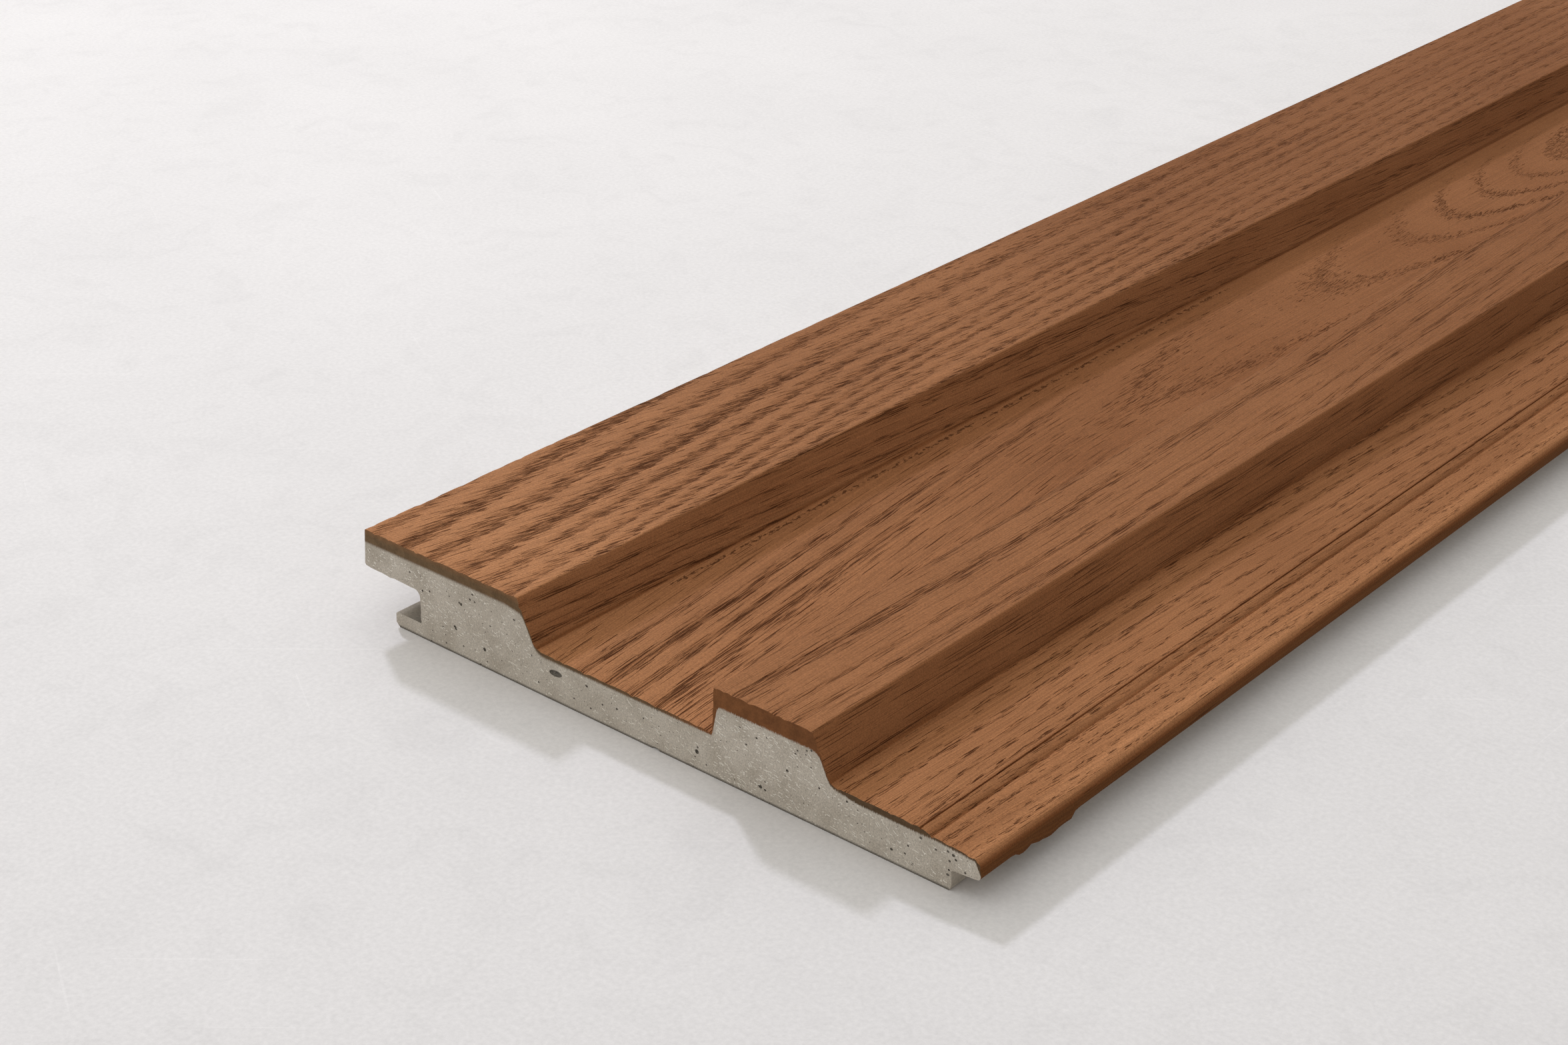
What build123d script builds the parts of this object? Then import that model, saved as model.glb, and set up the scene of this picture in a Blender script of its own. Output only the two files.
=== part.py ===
import os

from build123d import *

# Cladding board: a grey mineral-filled resin core with a brown moulded skin that carries the face.
# X runs across the board, Y along it and Z up through it, from the middle of the flat back.

# Driving dimensions, in mm
length = 3600.0
width = 200.0
thickness = 25.0
left = -width / 2
right = width / 2

# The face, from left to right: a wide batten, a wide floor, a narrow batten and a lower floor
wide_batten_left = left + 1.0
wide_batten_right = left + 57.2
wide_slope_foot = left + 63.3
wide_floor_height = 12.4
narrow_wall_foot = left + 121.6
narrow_batten_left = left + 122.2
narrow_batten_right = left + 152.1
narrow_slope_foot = left + 157.5
low_floor_height = 13.1
batten_edge_radius = 0.9
wide_foot_radius = 3.5
narrow_foot_radius = 2.0
wall_top_radius = 0.6
skin_corner_radius = 0.3

# Two fine guide grooves, where the lip of the next board lines up
guide_pitch = 3.2
guide_1 = right - 16.8
guide_2 = guide_1 + guide_pitch
guide_1_height = 13.0
guide_2_height = 12.1
guide_width = 1.0
guide_depth = 0.6

# Left edge: an upper lip, a groove and a shorter lower lip
lip_under_edge = 14.3
lip_under_root = 13.8
groove_wall = left + 20.9
groove_root_radius = 2.0
lower_lip_edge = left + 11.1
lower_lip_top = 4.2
lower_lip_chamfer = 1.3
lip_corner_radius = 0.4

# Right edge: a rounded nose that stands out over a rebate
rebate_wall = right - 8.2
rebate_height = 5.5
nose_under = 6.15
nose_crest = 11.3
nose_top_radius = 2.6
nose_bottom_radius = 1.2
rebate_corner_radius = 0.5

# Skin thickness at each stretch of the face, measured straight down or, on a side, level
skin_at_lip = 3.5
skin_on_wide_batten = 3.1
skin_on_side = 0.5
skin_on_wide_floor = 0.9
skin_on_narrow_batten = 5.0
skin_at_low_foot = 0.5
skin_on_low_floor = 1.85
skin_past_guides = 0.7
skin_on_nose = 0.8


def side_at(top, foot, height):
    """Where the side of a batten, from its top corner to its foot, passes a height."""
    share = (top[1] - height) / (top[1] - foot[1])
    return top[0] + share * (foot[0] - top[0])


wide_slope = ((wide_batten_right, thickness), (wide_slope_foot, wide_floor_height))
narrow_wall = ((narrow_batten_left, thickness), (narrow_wall_foot, wide_floor_height))
narrow_slope = ((narrow_batten_right, thickness), (narrow_slope_foot, low_floor_height))
lip_edge = ((wide_batten_left, thickness), (left, lip_under_edge))
nose_underside = ((rebate_wall, rebate_height), (right, nose_under))
skin_end = right - 1.7
skin_end_height = nose_under - 0.13

# The face line, each point with the radius that rounds it
face_points = [
    (wide_batten_left, thickness, skin_corner_radius),
    (*wide_slope[0], batten_edge_radius),
    (*wide_slope[1], wide_foot_radius),
    (*narrow_wall[1], skin_corner_radius),
    (*narrow_wall[0], wall_top_radius),
    (*narrow_slope[0], batten_edge_radius),
    (*narrow_slope[1], narrow_foot_radius),
    (guide_1, guide_1_height, 0),
    (guide_2, guide_2_height, 0),
    (right, nose_crest, nose_top_radius),
    (right, nose_under, nose_bottom_radius),
]

# The bond line between skin and core, which follows the face at the skin's own thickness
bond_start_height = thickness - skin_at_lip
wide_core_top = thickness - skin_on_wide_batten
wide_core_floor = wide_floor_height - skin_on_wide_floor
narrow_core_top = thickness - skin_on_narrow_batten
low_core_foot = low_floor_height - skin_at_low_foot
low_core_floor = low_floor_height - skin_on_low_floor
wide_core_shoulder = wide_core_top - 0.9
narrow_core_shoulder = narrow_core_top - 0.7
bond_start = (side_at(*lip_edge, bond_start_height), bond_start_height)
bond_end = (skin_end, skin_end_height)
bond_points = [
    (wide_batten_right - 4.5, wide_core_top, 2.0),
    (side_at(*wide_slope, wide_core_shoulder) - skin_on_side, wide_core_shoulder, 1.0),
    (side_at(*wide_slope, wide_core_floor) - skin_on_side, wide_core_floor, 4.0),
    (narrow_wall_foot + skin_on_side, wide_core_floor, 0.5),
    (narrow_batten_left + 0.3, narrow_core_top, 1.5),
    (narrow_batten_right, narrow_core_top + 0.1, 1.2),
    (side_at(*narrow_slope, narrow_core_shoulder) - skin_on_side, narrow_core_shoulder, 0.8),
    (side_at(*narrow_slope, low_core_foot) - skin_on_side, low_core_foot, 2.0),
    (narrow_slope_foot + 7.5, low_core_floor, 8.0),
    (guide_1 - 3.2, low_core_floor - 0.1, 0),
    (guide_2 + 1.6, guide_2_height - 0.1 - skin_past_guides, 0),
    (right - skin_on_nose, nose_crest - skin_past_guides, nose_top_radius - skin_on_nose),
    (right - skin_on_nose, nose_under + 1.1, 0.6),
]

# The rest of the core's outline, from the nose's under side round the back to the upper lip
back_points = [
    (rebate_wall, rebate_height, rebate_corner_radius),
    (rebate_wall, 0, rebate_corner_radius),
    (lower_lip_edge + lower_lip_chamfer, 0, 0),
    (lower_lip_edge, lower_lip_chamfer, 0),
    (lower_lip_edge, lower_lip_top, lip_corner_radius),
    (groove_wall, lower_lip_top, lip_corner_radius),
    (groove_wall, lip_under_root, groove_root_radius),
    (left, lip_under_edge, lip_corner_radius),
]


def rounded_line(start, points, end):
    """One outline from start to end, rounded at each point by that point's radius."""
    corners = [point[:2] for point in points]
    return FilletPolyline(start, *corners, end, radius=[point[2] for point in points])


# Skin: moulded over the whole face and round the nose, thickest on the battens
with BuildPart() as face_skin:
    with BuildSketch(Plane.XZ):
        with BuildLine():
            rounded_line(bond_start, bond_points, bond_end)
            rounded_line(bond_start, face_points, bond_end)
        make_face()
        with Locations((guide_1, guide_1_height), (guide_2, guide_2_height)):
            Polygon(
                (-guide_width / 2, guide_depth),
                (0, -guide_depth),
                (guide_width / 2, guide_depth),
                align=None,
                mode=Mode.SUBTRACT,
            )
    extrude(amount=length / 2, both=True)

# Core: the body of the board, with the flat back and both interlocking edges
with BuildPart() as core:
    with BuildSketch(Plane.XZ):
        with BuildLine():
            rounded_line(bond_start, bond_points, bond_end)
            rounded_line(bond_end, back_points, bond_start)
        make_face()
    extrude(amount=length / 2, both=True)

os.makedirs("parts", exist_ok=True)
face_skin.part.label = "face_skin"
export_step(face_skin.part, "parts/face_skin.step")
core.part.label = "core"
export_step(core.part, "parts/core.step")
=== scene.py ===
import math
from functools import partial

import bpy
import numpy as np
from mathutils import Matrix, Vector


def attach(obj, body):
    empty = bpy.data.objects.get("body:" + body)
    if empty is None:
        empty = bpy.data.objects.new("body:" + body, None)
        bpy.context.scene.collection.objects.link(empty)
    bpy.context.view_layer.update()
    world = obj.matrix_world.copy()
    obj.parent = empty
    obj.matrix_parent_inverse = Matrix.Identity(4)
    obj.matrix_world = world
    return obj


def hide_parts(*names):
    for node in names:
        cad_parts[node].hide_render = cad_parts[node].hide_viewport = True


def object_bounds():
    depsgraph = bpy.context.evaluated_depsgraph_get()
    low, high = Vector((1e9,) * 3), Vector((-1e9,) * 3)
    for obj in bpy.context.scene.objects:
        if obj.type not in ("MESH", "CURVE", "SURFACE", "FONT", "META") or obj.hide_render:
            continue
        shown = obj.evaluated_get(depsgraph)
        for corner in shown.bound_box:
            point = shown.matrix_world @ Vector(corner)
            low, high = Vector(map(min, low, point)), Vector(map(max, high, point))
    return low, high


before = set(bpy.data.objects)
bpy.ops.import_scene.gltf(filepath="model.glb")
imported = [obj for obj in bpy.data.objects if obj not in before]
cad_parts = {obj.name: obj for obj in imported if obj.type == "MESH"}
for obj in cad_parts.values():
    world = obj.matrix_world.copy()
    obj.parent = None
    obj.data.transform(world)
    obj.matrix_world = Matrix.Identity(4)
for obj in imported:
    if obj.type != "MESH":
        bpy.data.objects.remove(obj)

# A moulded cladding board lying face up: a brown wood-grained skin on a grey mineral core.
# Sizes are in millimetres until a mesh is made, and x, y and z are the frame's own

cadBox = [[float(value) for value in corner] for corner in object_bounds()]
left, front, base = [value * 1000 for value in cadBox[0]]
right, back, top = [value * 1000 for value in cadBox[1]]
length = back - front
print("frame loaded, board", round(right - left), "x", round(length), "x", round(top), "mm")

modeOf = {  # what the word after a node's kind sets
    "Math": "operation", "VectorMath": "operation", "MapRange": "interpolation_type", "Mix": "data_type",
    "TexNoise": "noise_dimensions", "TexWhiteNoise": "noise_dimensions", "TexVoronoi": "voronoi_dimensions",
}


def toLinear(hexText):
    # an sRGB hex colour as the linear colour that shaders take
    parts = [int(hexText[i:i + 2], 16) / 255 for i in (1, 3, 5)]
    return [c / 12.92 if c <= 0.04045 else ((c + 0.055) / 1.055) ** 2.4 for c in parts] + [1.0]


def addNode(tree, kind, inputs=(), **settings):
    # a node such as "Math MULTIPLY". Inputs are a list in the sockets' order, or named, where From and To
    # take both their ends; each is a value, a hex colour, a socket, or a node for its first output
    kind, _, mode = kind.partition(" ")
    node = tree.nodes.new(kind if "Node" in kind else "ShaderNode" + kind)
    if mode:
        settings[modeOf[kind]] = mode
    for name, value in settings.items():
        setattr(node, name, value)
    given = dict(inputs) if isinstance(inputs, dict) else dict(enumerate(inputs))
    for name in ("From", "To"):
        if name in given:
            given[name + " Min"], given[name + " Max"] = given.pop(name)
    for name, value in given.items():
        if isinstance(name, str):
            name = next(i for i, socket in enumerate(node.inputs) if socket.name == name and socket.enabled)
        socket = node.inputs[name]
        if isinstance(value, bpy.types.Node):
            value = next(output for output in value.outputs if output.enabled)
        if isinstance(value, bpy.types.NodeSocket):
            tree.links.new(value, socket)
        elif isinstance(value, str) and value.startswith("#"):
            socket.default_value = toLinear(value)[:len(socket.default_value)]
        else:
            socket.default_value = value
    return node


def newMaterial(name):
    # a bare material, the call that adds its nodes, and the Object coordinates that its patterns read
    material = bpy.data.materials.new(name)
    material.use_nodes = True
    material.node_tree.nodes.clear()
    add = partial(addNode, material.node_tree)
    return material, add, add("TexCoord").outputs["Object"]


def finishMaterial(add, shader, height=None, unit=0.001):
    # the shader, with a bump whose heights are in mm unless another unit is given
    if height is not None:
        shader["Normal"] = add("Bump", {"Height": height, "Distance": unit, "Strength": 1.0})
    add("OutputMaterial", {"Surface": add("BsdfPrincipled", shader)})


def newPiece(name, points, faces, materials=()):
    # an object from points in mm
    mesh = bpy.data.meshes.new(name)
    mesh.from_pydata((np.reshape(points, (-1, 3)) / 1000).tolist(), [], faces)
    for material in materials:
        mesh.materials.append(material)
    piece = bpy.data.objects.new(name, mesh)
    bpy.context.collection.objects.link(piece)
    return piece


def makePlain(piece):
    # what the modifiers make becomes the piece's own mesh
    graph = bpy.context.evaluated_depsgraph_get()
    mesh = bpy.data.meshes.new_from_object(piece.evaluated_get(graph))
    piece.modifiers.clear()
    piece.data = mesh


def smoothNoise(seed, x, y=0.0):
    # even noise from -1 to 1, with about one bump for each unit of x and of y
    size = 64
    lattice = np.random.default_rng(seed).uniform(-1, 1, (size, size))
    x, y = np.broadcast_arrays(np.asarray(x, float), np.asarray(y, float))
    column, row = np.floor(x).astype(int), np.floor(y).astype(int)
    s, t = x - column, y - row
    s, t = s * s * (3 - 2 * s), t * t * (3 - 2 * t)
    near, far = [
        lattice[column % size, line % size] * (1 - s) + lattice[(column + 1) % size, line % size] * s
        for line in (row, row + 1)]
    return near * (1 - t) + far * t


def overLimit(limit, *where):
    # bumps where even noise passes a limit
    return np.clip(smoothNoise(*where) - limit, 0, 1)


def along(value, y):
    # a value along the board: the same all over, or a smooth line through points that each give a
    # distance from the cut end and the value there
    if not isinstance(value, tuple):
        return np.full_like(y, value)
    step, reach, blur = 5.0, 8, 3.5
    places = np.arange(-200, length + 200, step)
    bell = np.exp(-0.5 * (np.arange(-reach, reach + 1) / blur) ** 2)
    line = np.pad(np.interp(places, *np.array(value, float).T), reach, mode="edge")
    return np.interp(y, places, np.convolve(line, bell / bell.sum(), mode="valid"))


def gradedRows(start, end, steps):
    # places from start to end, whose steps grow from the first to the last size
    growth = (steps[1] - steps[0]) / (end - start)
    count = round(math.log(1 + growth * (end - start) / steps[0]) / growth)
    rows = np.expm1(growth * np.arange(count + 1))
    return start + rows / rows[-1] * (end - start)


# The section: a wide batten, a wide floor, a narrow batten and a lower floor with two guide grooves

wideLeft, wideRight, wideFoot, wideFloor = left + 1.0, left + 57.2, left + 63.3, 12.4
narrowWall, narrowLeft, narrowRight, narrowFoot = left + 121.6, left + 122.2, left + 152.1, left + 157.5
lowFloor = 13.1
skinStart, skinEnd = (left + 0.67, top - 3.5, 0), (right - 1.7, 6.02, 0)
guides = ((right - 16.8, 13.0, 0.25, 0.6), (right - 13.6, 12.1, 0.4, 0.45))  # x, z, half width, depth
section = {  # outlines by x, z and corner radius
    "face": (
        skinStart,
        (wideLeft, top, 0.3),
        (wideRight, top, 0.9),
        (wideFoot, wideFloor, 3.5),
        (narrowWall, wideFloor, 0.3),
        (narrowLeft, top, 0.6),
        (narrowRight, top, 0.9),
        (narrowFoot, lowFloor, 2.0),
        *[corner for x, z, halfWidth, depth in guides
          for corner in ((x - halfWidth, z, 0), (x, z - depth, 0), (x + halfWidth, z, 0))],
        (right, 11.3, 2.6),
        (right, 6.15, 1.2),
        skinEnd,
    ),
    "bond": (  # where the skin is bonded to the core
        skinStart,
        (wideRight - 4.5, top - 3.1, 2.0),
        (wideRight + 1.44, top - 4.0, 1.0),
        (wideFoot - 0.06, wideFloor - 0.9, 4.0),
        (narrowWall + 0.5, wideFloor - 0.9, 0.5),
        (narrowLeft + 0.3, top - 5.0, 1.5),
        (narrowRight, top - 4.9, 1.2),
        (narrowRight + 2.09, top - 5.7, 0.8),
        (narrowFoot - 0.27, lowFloor - 0.5, 2.0),
        (narrowFoot + 7.5, lowFloor - 1.85, 8.0),
        (right - 20.0, lowFloor - 1.95, 0),
        (right - 12.0, 11.3, 0),
        (right - 0.8, 10.6, 1.8),
        (right - 0.8, 7.25, 0.6),
        skinEnd,
    ),
    "back": (  # from the nose's under side, round the back, to the upper lip
        skinEnd,
        (right - 8.2, 5.5, 0.5),
        (right - 8.2, base, 0.5),
        (left + 12.4, base, 0),
        (left + 11.1, 1.3, 0),
        (left + 11.1, 4.2, 0.4),
        (left + 20.9, 4.2, 0.4),
        (left + 20.9, 13.8, 2.0),
        (left, 14.3, 0.4),
        skinStart,
    ),
}


def roundedLine(points, pitch, parts=1):
    # rows of x, z and the distance along the sharp-cornered line; every step is cut in parts
    corners = np.array([point[:2] for point in points], float)
    radii = [point[2] for point in points]
    spans = np.diff(corners, axis=0)
    runs = np.hypot(*spans.T)
    ways = spans / runs[:, None]
    distance = np.concatenate([[0], np.cumsum(runs)])
    cuts = np.zeros(len(corners))  # how far a corner's arc reaches along its two sides
    for i in range(1, len(corners) - 1):
        turn = math.acos(np.clip(ways[i - 1] @ ways[i], -1, 1))
        cuts[i] = radii[i] * math.tan(turn / 2)
    rows = [(*corners[0], 0.0)]
    for i in range(1, len(corners)):
        begin = corners[i - 1] + ways[i - 1] * cuts[i - 1]
        finish = corners[i] - ways[i - 1] * cuts[i]
        run = math.dist(begin, finish)
        steps = max(1, round(run / pitch)) * parts
        for k in range(1, steps + 1):
            point = begin + (finish - begin) * k / steps
            rows.append((*point, distance[i - 1] + cuts[i - 1] + run * k / steps))
        if cuts[i] > 0:
            inner = ways[i] - ways[i - 1]
            centre = corners[i] + inner / np.hypot(*inner) * math.hypot(radii[i], cuts[i])
            first = finish - centre
            last = corners[i] + ways[i] * cuts[i] - centre
            turn = math.atan2(first[0] * last[1] - first[1] * last[0], first @ last)
            steps = max(1, round(radii[i] * abs(turn) / pitch * 2)) * parts
            for k in range(1, steps + 1):
                c, s = math.cos(turn * k / steps), math.sin(turn * k / steps)
                point = centre + np.array([first[0] * c - first[1] * s, first[0] * s + first[1] * c])
                rows.append((*point, distance[i] - cuts[i] + 2 * cuts[i] * k / steps))
    return np.array(rows)


# The wood grain that the skin was moulded with. Across it runs the distance from the left top edge
# along the face, and along it the distance from the cut end that the camera sees

grain = {
    "seed": 7,
    "ringWidth": (4.5, 8),  # of the rings past those that are listed
    # where the rings' sharp edges lie across, and for the wide floor their radius from the pith
    "battenRings": (6, 17.5, 28, 39.5, 47.5, 55.5, 61, 65.5, 71.5, 78, 84),
    "battenDrift": ((0, 0), (60, 8), (125, 16), (200, 22.5), (300, 28), (400, 31.5), (550, 38), (900, 46),
                    (1500, 40), (2300, 58), (3000, 50), (3600, 60)),
    "slopeRings": (58.5, 62.5, 67),
    "slopeSwing": (12, 300),
    "floorRings": (24, 28, 32, 36, 40, 45, 50.5, 54, 55.6, 57.9, 61.9, 65.8, 71, 76, 82),
    "pithFrom": 106.9,
    "pithLine": ((0, 12.6), (100, 1.5), (150, -3.5), (233, -8.2), (300, -10.5), (348, -12), (450, -13),
                 (700, -9), (1100, -4), (1600, -12), (2200, -6), (2900, -14), (3600, -8)),
    "pithDepth": ((0, 53.6), (100, 53.2), (150, 52.6), (200, 51.6), (233, 50.5), (348, 45), (398, 40),
                  (427, 36), (457, 32), (482, 28), (507, 24), (560, 17), (680, 26), (850, 39), (1100, 50),
                  (1350, 47), (1600, 38), (1780, 27), (1950, 33), (2250, 47), (2600, 52), (2900, 44),
                  (3150, 34), (3350, 42), (3600, 50)),
    "wallStart": 128.5,  # the wall of the narrow batten rises from here
    "narrowRings": (118, 130, 138, 147, 159, 164.5, 172, 181),
    "narrowDrift": ((0, 0), (60, 2), (125, 4), (155, 2.5), (200, 1), (250, 3), (300, -0.5), (375, -5),
                    (500, -8), (800, -3), (1300, 5), (1900, -4), (2600, 6), (3600, 0)),
    "lowRings": (164, 170, 176, 182, 188, 194, 199.5, 203.5, 207.5, 212),
    "lowDrift": ((0, 0), (100, 1), (200, 4), (300, 12), (400, 17), (700, 22), (1200, 12), (1800, 24),
                 (2600, 10), (3600, 20)),
    "stripRings": (205, 209, 213, 217, 220.5, 224, 228),
    "stripSwing": (8, 260),
    "wander": ((1.1, 30, 75), (0.45, 9, 22)),  # how far rings stray, and over what width and length
    "bend": (0.8, 14, 45),
    "lively": (0.3, 10, 60),
    "earlyFade": (0.2, 0.95),  # where early wood fades, as a share of its band
    "vesselDark": ((0, 0.9), (150, 0.86), (260, 0.76), (400, 0.64), (600, 0.52), (1100, 0.55), (1500, 0.8)),
}


def ringNumber(edges, place):
    # how many ring edges lie before a place; past both ends the rings go on, unevenly
    chance = np.random.default_rng(grain["seed"])
    before = edges[0] - np.cumsum(chance.uniform(*grain["ringWidth"], 40))[::-1]
    after = edges[-1] + np.cumsum(chance.uniform(*grain["ringWidth"], 40))
    line = np.concatenate([before, edges, after])
    return np.interp(place, line, np.arange(len(line), dtype=float))


def wideBattenRings(across, y):
    place = across + along(grain["battenDrift"], y)
    return -ringNumber(grain["battenRings"], place)  # its pith lies to the right, so rings count to the left


def swingRings(name):
    size, run = grain[name + "Swing"]
    return lambda across, y: ringNumber(grain[name + "Rings"], across - size * np.sin(y / run))


def driftRings(name):
    return lambda across, y: ringNumber(grain[name + "Rings"], across - along(grain[name + "Drift"], y))


def pithRings(across, y):
    # rings round one pith under the wide floor, which makes the arches there
    rise = np.clip(across - grain["wallStart"], 0, top - wideFloor)
    depth = along(grain["pithDepth"], y) + rise
    x = np.minimum(across - grain["pithFrom"], narrowWall) - along(grain["pithLine"], y)
    edges = grain["floorRings"]
    return np.interp(np.hypot(x, depth), edges, np.arange(len(edges), dtype=float))


# Each stretch of the face up to a distance across: its rings, how its fibres slant, the width and
# length of the cell that holds one open vessel, how much lies open in a ring's early wood and in the
# rest, how much of a ring the early wood takes, and how deep its brown is
faceZones = [
    {"upTo": 0.0, "rings": wideBattenRings, "slant": ((0, 0.2), (300, 0.05)), "cell": (0.5, 4.5),
     "early": 0.5, "late": 0.08, "band": 0.7, "tone": ((0, 0.5), (300, 0.8))},
    {"upTo": 56.2, "rings": wideBattenRings, "slant": ((0, 0.22), (120, 0.2), (260, 0.1), (450, 0.03)),
     "cell": (0.44, ((0, 6), (150, 5.5), (300, 5), (500, 6), (900, 6))),
     "early": ((0, 0.6), (150, 0.56), (195, 0.42), (218, 0.3), (245, 0.42), (320, 0.36), (600, 0.28),
               (1000, 0.56)),
     "late": 0.03, "band": 0.62,
     "tone": ((0, 0.06), (60, 0.16), (150, 0.42), (300, 0.6), (400, 0.72), (900, 0.74))},
    # painted shade: this slope's tone is set deeper than the tops beside it near the cut end, for a side
    # turned from the light
    {"upTo": 70.2, "rings": swingRings("slope"), "slant": ((0, 0.03), (300, 0.05), (600, 0.01)),
     "cell": (0.27, 12), "late": 0.02, "band": ((0, 0.4), (100, 0.55), (400, 0.5)),
     "early": ((0, 0.44), (50, 0.38), (130, 0.36), (300, 0.36), (450, 0.28), (900, 0.46)),
     "tone": ((0, 0.5), (50, 0.44), (150, 0.54), (400, 0.68))},
    {"upTo": 128.5, "rings": pithRings, "slant": ((0, -0.11), (150, -0.09), (240, -0.02), (320, 0.0)),
     "cell": (0.42, ((0, 12), (150, 12), (230, 6), (320, 3.4), (600, 3.6), (1000, 9))),
     "early": ((0, 0.6), (60, 0.56), (120, 0.42), (215, 0.36), (260, 0.32), (340, 0.46), (400, 0.68),
               (600, 0.7), (1000, 0.5)),
     "late": ((0, 0.06), (150, 0.04), (250, 0.02), (350, 0.0), (600, 0.0), (1000, 0.05)),
     "band": ((0, 0.5), (200, 0.36), (300, 0.22), (600, 0.18), (1000, 0.4)),
     "quiet": ((70.2, 0.0), (75, 0.04), (80, 0.3), (86, 1.0)),  # few vessels lie open near its left edge
     "tone": ((0, 0.16), (40, 0.36), (90, 0.5), (160, 0.66), (300, 0.64), (500, 0.58))},
    {"upTo": 141.1, "rings": pithRings, "slant": ((0, 0.0), (900, 0.01)), "cell": (0.34, 10),
     "early": 0.45, "late": 0.06, "band": 0.4, "tone": ((0, 0.5), (300, 0.6))},
    {"upTo": 171.0, "rings": driftRings("narrow"),
     "slant": ((0, 0.03), (120, -0.01), (300, -0.04), (500, 0)), "cell": (0.31, 11.0),
     "early": ((0, 0.54), (250, 0.44), (450, 0.38), (900, 0.5)), "late": 0.03, "band": 0.28,
     "tone": ((0, 0.54), (100, 0.58), (300, 0.62))},
    # painted shade: this slope's tone is set deeper than the narrow top and the low floor, for a side turned
    # from the light
    {"upTo": 184.1, "rings": driftRings("narrow"), "slant": ((0, 0.01), (500, -0.01)), "cell": (0.28, 16),
     "early": 0.15, "late": 0.045, "band": 0.5,
     "tone": ((0, 0.74), (60, 0.68), (120, 0.66), (200, 0.76), (500, 0.7))},
    {"upTo": 208.2, "rings": driftRings("low"), "slant": ((0, 0.02), (200, 0.05), (400, 0.02)),
     "cell": (0.38, 6.5), "early": ((0, 0.56), (250, 0.46), (500, 0.4), (900, 0.48)), "late": 0.02,
     "band": 0.28, "tone": ((0, 0.34), (200, 0.5), (500, 0.55))},
    {"upTo": 213.7, "rings": swingRings("strip"), "slant": ((0, 0.06), (300, 0.04), (800, 0.0)),
     "cell": (0.34, 4.5), "early": 0.22, "late": 0.04, "band": 0.4, "tone": ((0, 0.36), (300, 0.5))},
    {"upTo": 226.5, "rings": swingRings("strip"), "slant": ((0, 0.06), (300, 0.04), (800, 0.0)),
     "cell": (0.36, 3.8), "early": 0.34, "late": 0.02, "band": 0.36, "tone": ((0, 0.34), (300, 0.5))},
    {"upTo": 400.0, "rings": swingRings("strip"), "slant": 0.0, "cell": (0.42, 12),
     "early": 0.05, "late": 0.0, "band": 0.5, "tone": ((0, 0.34), (300, 0.5))},
]


def summed(value, y, share=lambda value: value):
    # what a value, or a share of it, adds up to from the cut end on
    step = 10.0
    places = np.arange(-100, length + 100, step)
    total = np.cumsum(share(along(value, places))) * step
    return np.interp(y, places, total - np.interp(0, places, total))


def grainAt(zone, across, y):
    # ring number, the vessel cell's two coordinates, and the share of open cells in early and late wood
    seed = grain["seed"]
    wander = sum(size * smoothNoise(seed + 1 + i, across / width, y / run)
                 for i, (size, width, run) in enumerate(grain["wander"]))
    bend, lively = [
        grain[name][0] * smoothNoise(seed + 3 + i, across / grain[name][1], y / grain[name][2])
        for i, name in enumerate(("bend", "lively"))]
    shift = summed(zone["slant"], y)  # how far a fibre has moved across since the cut end
    found = {name: along(zone[name], y) for name in ("early", "late", "band", "tone")}
    openness = 1 + lively
    if "quiet" in zone:
        openness *= np.interp(across, *np.array(zone["quiet"]).T)
    found["early"] = np.clip(found["early"] * openness, 0, 1)
    found["dark"] = along(grain["vesselDark"], y)
    found["ring"] = zone["rings"](across + wander, y)
    found["cellX"] = (across - shift + bend) / zone["cell"][0]
    found["cellY"] = summed(zone["cell"][1], y, np.reciprocal)
    return found


def earlyWood(ring, band):
    # 1 just outside a ring's sharp edge, falling to 0 where its early wood ends
    start, end = grain["earlyFade"]
    share = np.clip(((ring % 1.0) / band - start) / (end - start), 0, 1)
    return 1 - share * share * (3 - 2 * share)


# The skin

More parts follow.
